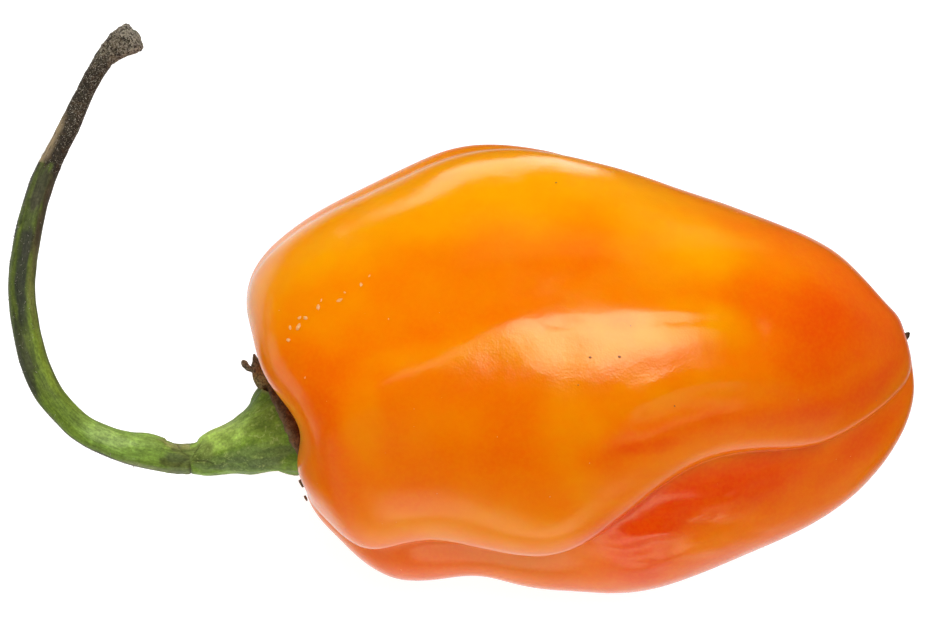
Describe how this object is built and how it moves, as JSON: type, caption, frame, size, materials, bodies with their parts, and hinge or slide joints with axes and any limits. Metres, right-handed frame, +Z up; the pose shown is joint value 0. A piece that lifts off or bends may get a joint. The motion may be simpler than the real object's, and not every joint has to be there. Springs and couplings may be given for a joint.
{
  "type": "chilli pepper",
  "caption": "Ripe lantern-shaped chilli pepper lying on its side, a lobed glossy pod with a flared calyx and a long curved stalk.",
  "frame": {"origin": "centre of the bottom of the whole pepper's box, on the surface that it lies on", "axes": "+Z up; +X along the longest extent, from the stalk's bend to the pod's blossom end; +Y to the far side, where the stalk's cut end points"},
  "size_m": [0.0756, 0.0458, 0.0313],
  "materials": {
    "pod_skin": "glossy waxy fruit skin, orange with redder folds and tip",
    "calyx_green": "soft matte green sepal tissue with pale veins",
    "stalk": "matte green stalk with dark streaks, dried grey-brown and fuzzy towards the cut end",
    "dried_flower": "dry brown papery tissue",
    "withered_style": "dry dark brown tissue"
  },
  "bodies": {
    "root": {"pod": "pod_skin", "calyx": "calyx_green", "pedicel": "stalk", "dried_corolla": "dried_flower", "style_remnant": "withered_style"}
  },
  "joints": []
}
